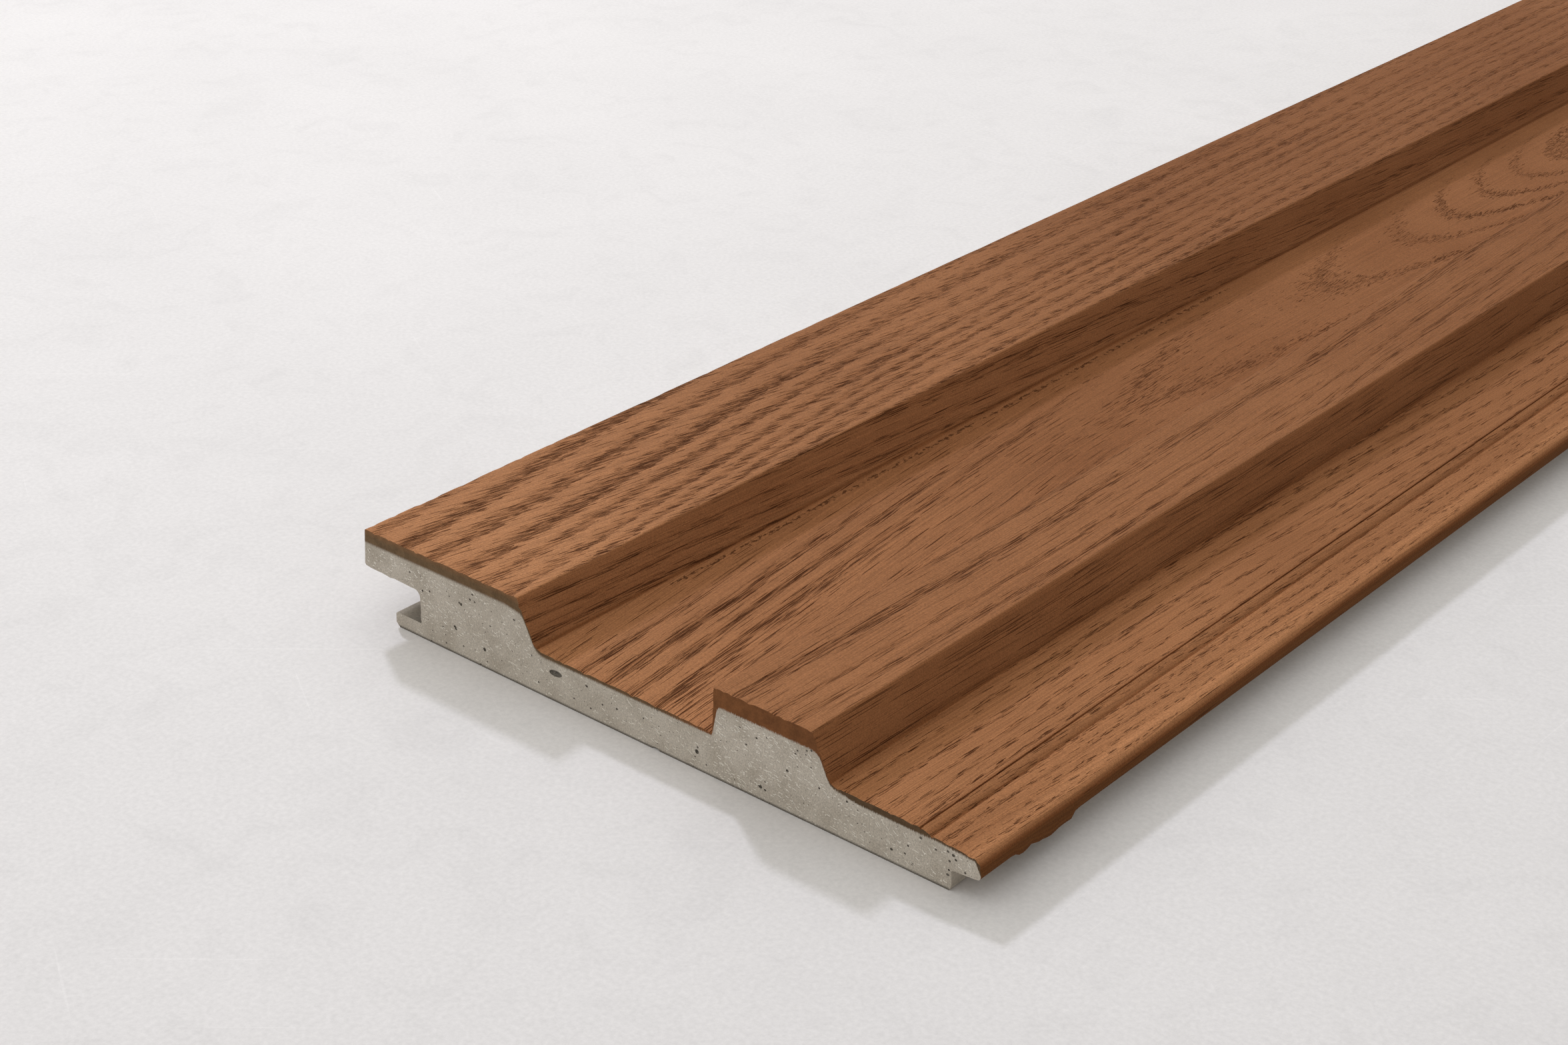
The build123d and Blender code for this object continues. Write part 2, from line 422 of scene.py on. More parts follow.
faceSkinValues = {
    "pitch": 2.7,  # a coarse step across
    "parts": 3,  # fine steps in it, near the cut end
    "nearLength": 700.0,
    "nearSteps": (1.4, 5.2),
    "farSteps": (6.0, 22.0),
    "bondPitch": 4.0,
    "sharpAngle": 38,  # degrees
    # relief: its depth, the width and length of its bumps, and what noise has to pass to make one
    "bandDepth": 0.2,  # early wood lies this much lower
    "clumps": (0.26, 2.2, 0.9),
    "uneven": (0.07, 17, 60),
    "sawnChips": (0.5, 1.3, 1.4, 0.15),
    "chipReach": 1.1,
    # the left top edge: how far it strays or is worn, over what length, and the same limit
    "edgeWave": (0.05, 45),
    "nicks": (0.4, 2.4, 0.25),
    "nickedLength": 320.0,
    "gouges": (0.12, 14, 0.35),
    "gougedLength": 300.0,
    "edgeReach": 1.2,
    "edgeSink": (0.25, 0.5),  # how far it also drops where it strays, and where it is worn
    # the torn flash under the nose: where it lies across, the distance from the cut end, how far it hangs
    "flashFrom": 230.6,
    "flashTo": 233.4,
    "flashRags": (0.25, 1.8),
    "flash": ((0, 0), (12.5, 0), (14, 0.8), (15.5, 1.4), (17, 1.3), (18.2, 0.2), (19.5, 0.7), (22, 1.2),
              (25, 1.6), (29, 1.9), (32, 1.7), (34.5, 1.3), (35.8, 0.2), (36.5, 0), (3600, 0)),
    # painted shade: stretches across where the brown is made deeper, in the creases at the feet of the two
    # slopes and of the narrow batten's wall and along the two guide grooves: place, half width and how much
    "darkLines": ((209.8, 0.45, 0.6), (213.1, 0.6, 0.35), (184.3, 1.6, 0.3), (128.6, 1.5, 0.2),
                  (70.0, 0.7, 0.5)),
    # painted highlight and painted shade on the nose: the tone falls on its round top edge and rises on its
    # side and the flash under it
    "noseTone": ((222, 0), (224.5, -0.3), (227, -0.25), (229, 0.6), (230.5, 1.2)),
    "pitRow": (72.5, 1.9, 20, 340),  # small pits by the wide slope's foot: place, half width, start, end
    "pitFade": 30,
}
grainNames = ("ring", "early", "late", "band", "tone", "dark", "pits")  # what the material reads


def gridFaces(first, rows, columns):
    return [(a, a + 1, a + columns + 1, a + columns) for r in range(rows - 1)
            for a in range(first + r * columns, first + (r + 1) * columns - 1)]


def makeFaceSkin(materials):
    v = faceSkinValues
    columns = roundedLine(section["face"], v["pitch"], v["parts"])
    lip = math.dist(*[point[:2] for point in section["face"][:2]])
    across = columns[:, 2] - lip
    tangent = np.gradient(columns[:, :2], axis=0)
    tangent /= np.hypot(*tangent.T)[:, None]
    inward = np.stack([tangent[:, 1], -tangent[:, 0]], 1)  # down into the board
    segmentZone = np.searchsorted([zone["upTo"] for zone in faceZones], (across[1:] + across[:-1]) / 2)
    nearRows = gradedRows(0, v["nearLength"], v["nearSteps"])
    farRows = gradedRows(v["nearLength"], length, v["farSteps"])[1:]
    fine = np.arange(len(columns))
    coarse = fine[::v["parts"]]

    def place(cols, ys):
        u, y = np.meshgrid(across[cols], ys)
        zoneOf = np.append(segmentZone, segmentZone[-1])[cols]
        drop = np.zeros_like(u)
        clumpDepth, clumpWidth, clumpLength = v["clumps"]
        for index in np.unique(zoneOf):
            mine = zoneOf == index
            found = grainAt(faceZones[index], u[:, mine], y[:, mine])
            wood = earlyWood(found["ring"], found["band"])
            clump = 0.5 + 0.5 * smoothNoise(21, found["cellX"] / clumpWidth, found["cellY"] / clumpLength)
            deep = v["bandDepth"] * wood + clumpDepth * wood * clump * clump
            drop[:, mine] = deep * found["early"]
        depth, width, run = v["uneven"]
        drop += depth * (0.5 + 0.5 * smoothNoise(22, u / width, y / run))
        ends = np.minimum(np.clip(u + lip, 0, 10) / 10, np.clip(across[-1] - u, 0, 3) / 3)
        drop *= ends
        depth, width, run, limit = v["sawnChips"]
        torn = overLimit(limit, 26, u / width, y / run) * depth
        drop += torn * np.exp(-y / v["chipReach"]) * np.clip(ends * 3, 0, 1)
        point = np.zeros((*u.shape, 3))
        point[..., 0] = columns[cols, 0] + inward[cols, 0] * drop
        point[..., 1] = front + y
        point[..., 2] = columns[cols, 1] + inward[cols, 1] * drop
        # the left top edge strays inwards, with small nicks near the cut end and wider gouges
        near = np.exp(-np.abs(u) / v["edgeReach"]) * np.clip(u + lip, 0, 3) / 3
        depth, run = v["edgeWave"]
        wave = depth * (0.5 + 0.5 * smoothNoise(23, y / run))
        depth, run, limit = v["nicks"]
        nick = overLimit(limit, 24, y / run) * depth
        nick *= np.clip((v["nickedLength"] - y) / v["nickedLength"], 0, 1)
        depth, run, limit = v["gouges"]
        gouge = overLimit(limit, 27, y / run) * depth
        nick += gouge * np.clip((v["nearLength"] - y) / v["gougedLength"], 0, 1)
        point[..., 0] += near * (wave + nick)
        waveSink, nickSink = v["edgeSink"]
        point[..., 2] -= near * (waveSink * wave + nickSink * nick)
        # flash that was torn off along the nose hangs down in two ragged lobes
        raggedness, run = v["flashRags"]
        hang = np.interp(y, *np.array(v["flash"]).T) * (1 + raggedness * smoothNoise(25, y / run))
        point[..., 2] -= hang * np.clip(u - v["flashFrom"], 0, 1) * (u < v["flashTo"])
        return point.reshape(-1, 3)

    # the near grid, a row where three fine steps meet one coarse step, and the far grid
    nearCount, wide, narrow, parts = len(nearRows), len(fine), len(coarse), v["parts"]
    lastNear, firstFar = (nearCount - 1) * wide, nearCount * wide
    faces = gridFaces(0, nearCount, wide)
    for c in range(narrow - 1):
        a = lastNear + parts * c
        faces.append((*range(a, a + parts + 1), firstFar + c + 1, firstFar + c))
    faces += gridFaces(firstFar, len(farRows), narrow)
    zones = [*segmentZone] * (nearCount - 1) + [*segmentZone[::parts]] * len(farRows)

    # the bonded side is plain, and the two ends are single faces
    bond = roundedLine(section["bond"], v["bondPitch"])[1:-1]
    count = len(bond)
    first = firstFar + len(farRows) * narrow
    points = [place(fine, nearRows), place(coarse, farRows)]
    points += [np.stack([bond[:, 0], np.full(count, y), bond[:, 1]], 1) for y in (front, back)]
    faces += [(a, a + count, a + count + 1, a + 1) for a in range(first, first + count - 1)]
    rowStarts = [*range(0, firstFar, wide), *range(firstFar, first, narrow)]
    rowEnds = [*range(wide - 1, firstFar, wide), *range(firstFar + narrow - 1, first, narrow)]
    faces += [
        (first, *rowStarts, first + count),
        (first + count - 1, first + 2 * count - 1, *rowEnds[::-1]),
        (*range(wide - 1, -1, -1), *range(first, first + count)),
        (*range(first - narrow, first), *range(first + 2 * count - 1, first + count - 1, -1)),
    ]
    zones += [-1] * (count - 1) + [-1, -1, -2, -2]

    points = np.concatenate(points)
    piece = newPiece("faceSkin", points, faces, materials)
    mesh = piece.data
    mesh.validate()

    # the vessel cells as a UV map, ring number and shares at each face's corners
    corners = np.zeros(len(mesh.loops), int)
    mesh.loops.foreach_get("vertex_index", corners)
    cornerZone = np.repeat(zones, [len(face) for face in faces])
    nearAcross, farAcross = np.tile(across, nearCount), np.tile(across[coarse], len(farRows))
    u = np.concatenate([nearAcross, farAcross, np.zeros(2 * count)])[corners]
    y = points[corners, 1] - front
    values = {name: np.zeros(len(corners)) for name in (*grainNames, "cellX", "cellY")}
    for index, zone in enumerate(faceZones):
        mine = cornerZone == index
        if not mine.any():
            continue
        found = grainAt(zone, u[mine], y[mine])
        # painted shade in the creases and grooves deepens the tone
        for where, halfWidth, deeper in v["darkLines"]:
            found["tone"] += deeper * np.exp(-((u[mine] - where) / halfWidth) ** 2)
        # the nose's painted highlight and painted shade
        found["tone"] += np.interp(u[mine], *np.array(v["noseTone"]).T)
        where, halfWidth, start, end = v["pitRow"]
        run = np.clip(np.minimum(y[mine] - start, end - y[mine]) / v["pitFade"], 0, 1)
        found["pits"] = run * np.exp(-((u[mine] - where) / halfWidth) ** 2)
        for name, value in found.items():
            values[name][mine] = value
    cells = np.stack([values["cellX"], values["cellY"]], 1).astype(np.float32)
    mesh.uv_layers.new(name="vesselCells").uv.foreach_set("vector", cells.ravel())
    for name in grainNames:
        attribute = mesh.attributes.new(name, "FLOAT", "CORNER")
        attribute.data.foreach_set("value", values[name].astype(np.float32))
    mesh.polygons.foreach_set("material_index", (np.array(zones) == -2).astype(np.int32))
    mesh.shade_smooth()
    mesh.set_sharp_from_angle(angle=math.radians(v["sharpAngle"]))
    mesh.update()
    print("faceSkin", len(columns), "columns,", len(nearRows) + len(farRows), "rows,",
          sum(len(face) - 2 for face in faces), "triangles")
    return piece


# Matt elastomer, moulded against real timber: low sheen, dark where the vessels lie open. Its patterns
# run in vessel cells, or in bumps to a metre where they follow the board
skinFinish = {
    "light": "#B67F56",
    "deep": "#794A2A",
    # painted shade: the deepest brown, which the tone reaches on the nose's shaded side and the flash under
    # it
    "deepest": "#694122",  # under the nose
    "deepestFrom": (1.0, 1.5),
    "vessel": "#45220E",
    "earlyShade": (0.78, 0.7, 0.62),  # what early wood does to the brown
    "roughness": (0.62, 0.85),  # of the face, and in an open vessel
    "ior": 1.5,
    "gloss": 0.03,
    "bendReach": (0.9, 0.5, 0.0),  # how far a cell strays
    "teeth": 0.9,  # how far a ring's edge strays with the vessels, in rings
    "yearStrength": (0.6, 1.2),
    "woodFade": (0.25, 1.0),  # where early wood fades, as a share of its band
    "tornEdge": 0.045,  # over so much noise a streak's side goes down, and a hairline's
    "hairEdge": 0.14,
    "tornLimit": (0.78, 0.42),  # noise over this is torn open, where no cell or every cell is open
    "tornStretches": ((1.3, 0.7, 0.0), (2.6, 0.35, 0.0)),
    "ridgeNoise": (0.4, 0.56),  # where a fibre is left between streaks, and how open it still is
    "ridgeOpen": (0.12, 1.0),
    "streakShare": 0.5,  # torn streaks and hairlines are less deep, and show less of the vessel's colour
    "hairShare": 0.42,
    "vesselCells": (((1.25, 0.75, 0.0), 1.4), ((2.1, 0.6, 0.0), 1.15)),  # stretch and chance, in two sizes
    "vesselRadius": (0.22, 0.44),
    "vesselFloor": 0.7,  # flat out to this share of its radius
    "pitScale": (900.0, 520.0, 900.0),  # 1 mm wide and 2 mm long
    "pitLimit": (0.49, 0.57),
    "pitOpen": (0.0, 0.8),
    "fibreStretch": (1.1, 0.045, 1.0),
    "fibreFrom": (0.34, 0.66),
    "fibreShade": (0.76, 1.18),
    "toothSize": 0.42,  # mm, the sandy tooth of the mould
    "toothShade": (0.84, 1.14),
    "cloudScale": 14.0,  # 70 mm
    "cloudTone": (-0.12, 0.12),
    "bandDepth": 0.12,  # mm, as are the other depths
    "vesselDepth": 0.46,
    "hairDepth": 0.07,
    "fibreDepth": 0.1,
    "toothDepth": 0.13,
}
middle = (0.3, 0.7)  # where most of a noise lies


def elastomerSkin():
    v = skinFinish
    material, add, place = newMaterial("mouldedElastomerSkin")
    cells = add("UVMap", uv_map="vesselCells")
    ring, early, late, band, tone, dark, pits = [
        add("Attribute", attribute_name=name).outputs["Fac"] for name in grainNames]

    # the cells bend a little, and the ring edges stray in teeth as long as a vessel
    ripple = add("TexNoise 2D", {"Vector": cells, "Scale": 0.8, "Detail": 3.0})
    centred = add("VectorMath SUBTRACT", [ripple.outputs["Color"], (0.5, 0.5, 0.5)])
    bent = add("VectorMath MULTIPLY_ADD", [centred, v["bendReach"], cells])
    teeth = add("TexNoise 2D", {"Vector": bent, "Scale": 0.75, "Detail": 2.0})
    stray = add("Math SUBTRACT", [teeth, 0.5])
    ragged = add("Math MULTIPLY_ADD", [stray, v["teeth"], ring])

    # early wood: dense just outside each ring's edge, then fading; some years had more of it
    yearLuck = add("TexWhiteNoise 1D", {"W": add("Math FLOOR", [ragged])})
    strength = add("MapRange", {"Value": yearLuck, "To": v["yearStrength"]})
    part = add("Math DIVIDE", [add("Math FRACT", [ragged]), band])
    wood = add("MapRange SMOOTHSTEP", {"Value": part, "From": v["woodFade"], "To": (1.0, 0.0)})
    strong = add("Math MULTIPLY", [early, strength])
    openShare = add("Math MULTIPLY_ADD", [wood, strong, late])

    # vessels: torn streaks where a stretched noise passes the share that lies open, split by fine
    # ridges of the fibre that was left between them
    limit = add("MapRange", {"Value": openShare, "To": v["tornLimit"]})
    noises = [
        add("TexNoise 2D", {"Vector": add("VectorMath MULTIPLY", [bent, stretch]), "Scale": 1.0,
                            "Detail": 3.0, "Roughness": 0.6}) for stretch in v["tornStretches"]]
    above = [add("Math SUBTRACT", [noise, limit]) for noise in noises]
    streak = add("MapRange SMOOTHSTEP", {"Value": above[0], "From": (0.0, v["tornEdge"])})
    ridge = add("MapRange", {"Value": noises[1], "From": v["ridgeNoise"], "To": v["ridgeOpen"]})
    torn = add("Math MULTIPLY", [streak, ridge])
    hair = add("MapRange SMOOTHSTEP", {"Value": above[1], "From": (0.0, v["hairEdge"])})

    # small torn pits, in clumps; and whole vessels, one to a cell, open by chance
    pitPlace = add("VectorMath MULTIPLY", [place, v["pitScale"]])
    pitNoise = add("TexNoise", {"Vector": pitPlace, "Scale": 1.0, "Detail": 4.0, "Roughness": 0.62})
    pitShare = add("Math MULTIPLY", [pitNoise, pits])
    vessels = add("MapRange", {"Value": pitShare, "From": v["pitLimit"], "To": v["pitOpen"]})
    for stretch, chance in v["vesselCells"]:
        cell = add("TexVoronoi 2D", {"Vector": add("VectorMath MULTIPLY", [bent, stretch]), "Scale": 1.0})
        luck = add("SeparateColor", [cell.outputs["Color"]])
        isOpen = add("Math LESS_THAN", [luck.outputs["Red"], add("Math MULTIPLY", [openShare, chance])])
        radius = add("MapRange", {"Value": luck.outputs["Green"], "To": v["vesselRadius"]})
        inner = add("Math MULTIPLY", [radius, v["vesselFloor"]])
        shape = add("MapRange SMOOTHSTEP", {"Value": cell.outputs["Distance"], "From": (inner, radius),
                                            "To": (1.0, 0.0)})
        vessels = add("Math MAXIMUM", [add("Math MULTIPLY", [shape, isOpen]), vessels])
    hollow = add("Math MAXIMUM", [add("Math MULTIPLY", [torn, v["streakShare"]]), vessels])

    # fine fibres everywhere, the tooth of the mould, and broad clouds
    fibrePlace = add("VectorMath MULTIPLY", [bent, v["fibreStretch"]])
    fibre = add("TexNoise 2D", {"Vector": fibrePlace, "Scale": 1.0, "Detail": 4.0, "Roughness": 0.68})
    tooth = add("TexNoise", {"Vector": place, "Scale": 1000 / v["toothSize"], "Detail": 1.0})
    cloud = add("TexNoise", {"Vector": place, "Scale": v["cloudScale"], "Detail": 3.0})

    # colour: two browns by stretch of the face, redder in early wood, darkest in the vessels. The tone also
    # carries painted shade in the creases and on the nose, a painted highlight on the nose's round, and the
    # deepest brown for the nose's painted shade
    cloudy = add("MapRange", {"Value": cloud, "From": middle, "To": v["cloudTone"]})
    mixed = add("Math ADD", [tone, cloudy])
    common = add("Mix RGBA", {"Factor": mixed, "A": v["light"], "B": v["deep"]})
    past = add("MapRange", {"Value": mixed, "From": v["deepestFrom"]})
    browns = add("Mix RGBA", {"Factor": past, "A": common, "B": v["deepest"]})
    tinted = add("VectorMath MULTIPLY", [browns, v["earlyShade"]])
    tintShare = add("Math MULTIPLY", [wood, strong])
    banded = add("Mix RGBA", {"Factor": tintShare, "A": browns, "B": tinted})
    fibreShade = add("MapRange", {"Value": fibre, "From": v["fibreFrom"], "To": v["fibreShade"]})
    toothShade = add("MapRange", {"Value": tooth, "From": middle, "To": v["toothShade"]})
    fibreHere = add("Mix", {"Factor": dark, "A": 1.0, "B": fibreShade})
    shade = add("Math MULTIPLY", [fibreHere, toothShade])
    shaded = add("VectorMath SCALE", {0: banded, "Scale": shade})
    darkest = add("Math MAXIMUM", [hollow, add("Math MULTIPLY", [hair, v["hairShare"]])])
    darkHere = add("Math MULTIPLY", [darkest, dark])
    colour = add("Mix RGBA", {"Factor": darkHere, "A": shaded, "B": v["vessel"]})
    rough = add("MapRange", {"Value": hollow, "To": v["roughness"]})

    # relief: the floors of the bands, the vessels in them, hairlines, fibres and tooth
    height = 0.0
    for layer, depth in ((tintShare, -v["bandDepth"]), (hollow, -v["vesselDepth"]), (hair, -v["hairDepth"]),
                         (fibre, v["fibreDepth"]), (tooth, v["toothDepth"])):
        height = add("Math MULTIPLY_ADD", [layer, depth, height])
    finishMaterial(add, {"Base Color": colour, "Roughness": rough, "IOR": v["ior"],
                         "Specular IOR Level": v["gloss"]}, height)
    return material


# Where the saw went through, the brown runs into the grey: both cut faces mix the same two colours.
# Scales are bumps to a metre. Pairs are a value at the left and at the right of the board
cutFinish = {
    "skinByPlace": ((0.0, "#715B43"), (0.52, "#69523A"), (0.6, "#7C5030"), (0.77, "#754B2D"),
                    (0.8, "#5E4A36")),  # olive where resin soaked it, clear brown on the narrow batten
    "changesOver": (0.35, 0.6),  # shares of the width between which left turns to right
    "raggedness": (0.5, 1.4),  # mm that threads of brown run down
    "bleed": (0.6, 0.35),  # mm to each side of the bond line
    "soak": (0.35, 0.0),  # mm that the brown went under the bond line
    "rimShare": (0.75, 0.0),
    "rim": "#8A6344",  # the topmost half millimetre, where the saw lifted clean elastomer
    "rimHeights": (1.6, 3.3),
    "resin": "#C6BDB0",
    "stain": "#B3A99B",
    "grain": "#F0EBE0",
    "grainChance": 0.11,
    "cloudFrom": (0.4, 0.7),
    "grainRound": (0.2, 0.34),
    "grainShow": (0.6, 0.0),
    "smearFrom": (0.36, 0.64),
    "gritShade": (0.72, 1.17),
    "brownGrit": (0.86, 1.1),
    "smearShade": (0.78, 1.12),
    "dustShade": (0.3, 1.0),
    "threadScale": (2600.0, 2600.0, 700.0),
    "cloudScale": 120.0,  # 8 mm
    "gritScale": 2300.0,  # 0.43 mm
    "grainScale": 1300.0,  # 0.8 mm
    "smearScale": 330.0,  # 3 mm
    "curveGap": 0.15,  # mm between points of the bond line's curve
    "dustLine": 0.8,  # mm over the floor up to which the lower arris is painted darker, a painted contact shade
    "roughness": 0.85,
    "ior": 1.5,
    "gloss": 0.1,
    "gritDepth": 0.05,
}


def cutFace(name):
    v = cutFinish
    material, add, place = newMaterial(name)
    axes = add("SeparateXYZ", [place])
    share = add("MapRange", {"Value": axes.outputs["X"], "From": (left / 1000, right / 1000)})

    # height over the bond line in mm, with ragged threads where the brown has run down
    bondLine = add("FloatCurve", {"Value": share})
    curve = bondLine.mapping.curves[0]
    bond = roundedLine(section["bond"], 2.0)
    rising = [row for i, row in enumerate(bond) if i == 0 or row[0] > bond[:i, 0].max() + v["curveGap"]]
    for i, (x, z, _) in enumerate(rising):
        where = ((x - left) / (right - left), z / top)
        if i < 2:
            curve.points[i].location = where
        else:
            curve.points.new(*where)
        curve.points[i].handle_type = "VECTOR"
    bondLine.mapping.update()
    bondHeight = add("Math MULTIPLY", [bondLine, -top])
    above = add("Math MULTIPLY_ADD", [axes.outputs["Z"], 1000.0, bondHeight])
    threadPlace = add("VectorMath MULTIPLY", [place, v["threadScale"]])
    threads = add("TexNoise", {"Vector": threadPlace, "Scale": 1.0, "Detail": 3.0})
    away = add("Math SUBTRACT", [threads, 0.5])
    reach, blur, soak, rimPart = [
        add("MapRange", {"Value": share, "From": v["changesOver"], "To": v[pair]})
        for pair in ("raggedness", "bleed", "soak", "rimShare")]
    ragged = add("Math MULTIPLY_ADD", [away, reach, add("Math ADD", [above, soak])])
    under = add("Math MULTIPLY", [blur, -1.0])
    brown = add("MapRange SMOOTHSTEP", {"Value": ragged, "From": (under, blur)})
    browns = add("ValToRGB", {"Fac": share})
    ramp = browns.color_ramp.elements
    for i, (where, colour) in enumerate(v["skinByPlace"]):
        stop = ramp[i] if i < 2 else ramp.new(where)
        stop.position, stop.color = where, toLinear(colour)

    # grey resin, cloudy, with pale sand grains
    cloud = add("TexNoise", {"Vector": place, "Scale": v["cloudScale"], "Detail": 4.0})
    cloudShare = add("MapRange", {"Value": cloud, "From": v["cloudFrom"]})
    clouded = add("Mix RGBA", {"Factor": cloudShare, "A": v["resin"], "B": v["stain"]})
    grit = add("TexNoise", {"Vector": place, "Scale": v["gritScale"], "Detail": 2.0, "Roughness": 0.7})
    gritShade, brownGrit = [
        add("MapRange", {"Value": grit, "From": middle, "To": v[pair]})
        for pair in ("gritShade", "brownGrit")]
    resin = add("VectorMath SCALE", {0: clouded, "Scale": gritShade})
    grains = add("TexVoronoi", {"Vector": place, "Scale": v["grainScale"]})
    luck = add("SeparateColor", [grains.outputs["Color"]])
    rare = add("Math LESS_THAN", [luck.outputs["Red"], v["grainChance"]])
    blob = add("MapRange", {"Value": grains.outputs["Distance"], "From": v["grainRound"],
                            "To": v["grainShow"]})
    sand = add("Math MULTIPLY", [rare, blob])
    grained = add("Mix RGBA", {"Factor": sand, "A": resin, "B": v["grain"]})

    # the sawn skin, smeared, with a clean rim
    smear = add("TexNoise", {"Vector": place, "Scale": v["smearScale"], "Detail": 4.0, "Roughness": 0.65})
    smearShade = add("MapRange", {"Value": smear, "From": v["smearFrom"], "To": v["smearShade"]})
    brownShade = add("Math MULTIPLY", [brownGrit, smearShade])
    rimHere = add("MapRange", {"Value": above, "From": v["rimHeights"], "To": (0.0, rimPart)})
    rimmed = add("Mix RGBA", {"Factor": rimHere, "A": browns, "B": v["rim"]})
    brownHere = add("VectorMath SCALE", {0: rimmed, "Scale": brownShade})
    clean = add("Mix RGBA", {"Factor": brown, "A": grained, "B": brownHere})
    # painted contact shade: both cut faces darken towards the floor along the lower arris
    dustEnds = (v["dustLine"] / 3000, v["dustLine"] / 1000)
    dust = add("MapRange", {"Value": axes.outputs["Z"], "From": dustEnds, "To": v["dustShade"]})
    colour = add("VectorMath SCALE", {0: clean, "Scale": dust})
    height = add("Math MULTIPLY", [grit, v["gritDepth"]])
    finishMaterial(add, {"Base Color": colour, "Roughness": v["roughness"], "IOR": v["ior"],
                         "Specular IOR Level": v["gloss"]}, height)
    return material


# The core

boardCoreValues = {
    "pitch": 1.6,
    "rowSteps": (1.2, 150.0),
    "recess": 0.05,  # its cut end lies this far behind the skin's, which leaves the flecks room
    "uneven": (0.07, 9, 40),  # depth, and the width and length of its bumps
    "chips": (0.45, 2.6, 2.5, 0.25),
    "chipReach": 1.6,
    "baseLift": 0.36,  # the sawn lower edge clears the floor
    "liftedLength": 3.6,
    "sharpAngle": 35,  # degrees
}

# Air that was caught in the resin: small pores by chance, and the larger voids listed one by one
airPoreSizes = {
    "Seed": 11,
    "Density": 62000.0,  # in a square metre
    "Gap": 0.0011,
    "Smallest": 0.00012,
    "Largest": 0.00042,
    "Mostly Small": 3.2,
    "Sides": 8,
    "Rings": 5,
    "Void Sides": 24,  # the few large voids are rounder
    "Void Rings": 12,
}
handVoids = (  # x, z, half width, half height and how far it leans, in mm and degrees
    (-30.2, 8.2, 2.2, 0.9, -5), (16.7, 5.0, 0.62, 0.62, 0), (36.5, 3.7, 0.6, 0.5, 20),
    (87.6, 9.0, 0.28, 0.26, 0), (90.9, 10.0, 0.35, 0.3, 0), (92.4, 9.6, 0.45, 0.4, 0),
    (93.1, 8.7, 0.36, 0.32, 0), (91.4, 7.7, 0.34, 0.3, 0), (79.9, 6.6, 0.3, 0.3, 0),
    (3.2, 0.1, 1.2, 0.55, 0), (91.3, 5.3, 0.3, 0.26, 30), (-63.5, 15.6, 0.5, 0.42, 0),
    (-66.0, 7.6, 0.42, 0.4, 0), (-55.6, 5.4, 0.5, 0.5, 0), (-36.5, 13.2, 0.4, 0.3, 0),
    (-19.5, 8.8, 0.5, 0.3, 15), (-9.4, 6.3, 0.35, 0.3, 0),
)
fibreFleckSizes = {
    "Seed": 5,
    "Density": 950000.0,
    "Cluster Size": 90.0,
    "Shortest": 0.0003,
    "Longest": 0.0013,
    "Thickness": 0.00016,
    "Depth": 0.00009,
    "Edge": 0.0009,  # none lies nearer to the outline
    "Lean": 0.9,
    "Least Lean": 0.04,
}


def makeTree(name, sizes):
    # a node tree with a mesh coming in, its named sizes, and a mesh going out
    tree = bpy.data.node_groups.new(name, "GeometryNodeTree")
    for way in ("INPUT", "OUTPUT"):
        tree.interface.new_socket("Mesh", in_out=way, socket_type="NodeSocketGeometry")
    for label, value in sizes.items():
        kind = "NodeSocketInt" if isinstance(value, int) else "NodeSocketFloat"
        tree.interface.new_socket(label, in_out="INPUT", socket_type=kind)
    add = partial(addNode, tree)
    return tree, add, add("NodeGroupInput").outputs


def endTree(add, shapes, material):
    real = add("GeometryNodeRealizeInstances", {"Geometry": shapes})
    add("NodeGroupOutput", [add("GeometryNodeSetMaterial", {"Geometry": real, "Material": material})])


def airPoreTree(material):
    tree, add, given = makeTree("airPores", airPoreSizes)
    spread = add("GeometryNodeDistributePointsOnFaces", {
        "Mesh": given["Mesh"], "Distance Min": given["Gap"], "Density Max": given["Density"],
        "Seed": given["Seed"]}, distribute_method="POISSON")
    ball, roundBall = [
        add("GeometryNodeMeshUVSphere", {"Segments": given[kind + "Sides"], "Rings": given[kind + "Rings"],
                                         "Radius": 1.0}) for kind in ("", "Void ")]
    luck = add("FunctionNodeRandomValue", {"Min": 0.0, "Max": 1.0, "Seed": given["Seed"]})
    mostlySmall = add("Math POWER", [luck, given["Mostly Small"]])
    radius = add("MapRange", {"Value": mostlySmall, "To": (given["Smallest"], given["Largest"])})
    squash = add("FunctionNodeRandomValue", {"Min": (0.8, 0.8, 0.7), "Max": (1.35, 1.0, 1.0),
                                             "Seed": given["Seed"]}, data_type="FLOAT_VECTOR")
    size = add("VectorMath SCALE", {0: squash, "Scale": radius})
    pores = add("GeometryNodeInstanceOnPoints", {"Points": spread, "Instance": ball, "Scale": size})
    # the loose points carry the size and turn of the listed voids
    handSize, handTurn = [
        add("GeometryNodeInputNamedAttribute", {"Name": name}, data_type="FLOAT_VECTOR")
        for name in ("size", "turn")]
    wide = add("VectorMath LENGTH", [handSize])
    isHand = add("Math GREATER_THAN", [wide.outputs["Value"], 0.0])
    marks = add("GeometryNodeMeshToPoints", {"Mesh": given["Mesh"], "Selection": isHand})
    voids = add("GeometryNodeInstanceOnPoints", {"Points": marks, "Instance": roundBall,
                                                 "Rotation": handTurn, "Scale": handSize})
    both = add("GeometryNodeJoinGeometry", [pores])
    tree.links.new(voids.outputs[0], both.inputs[0])
    endTree(add, both, material)
    return tree


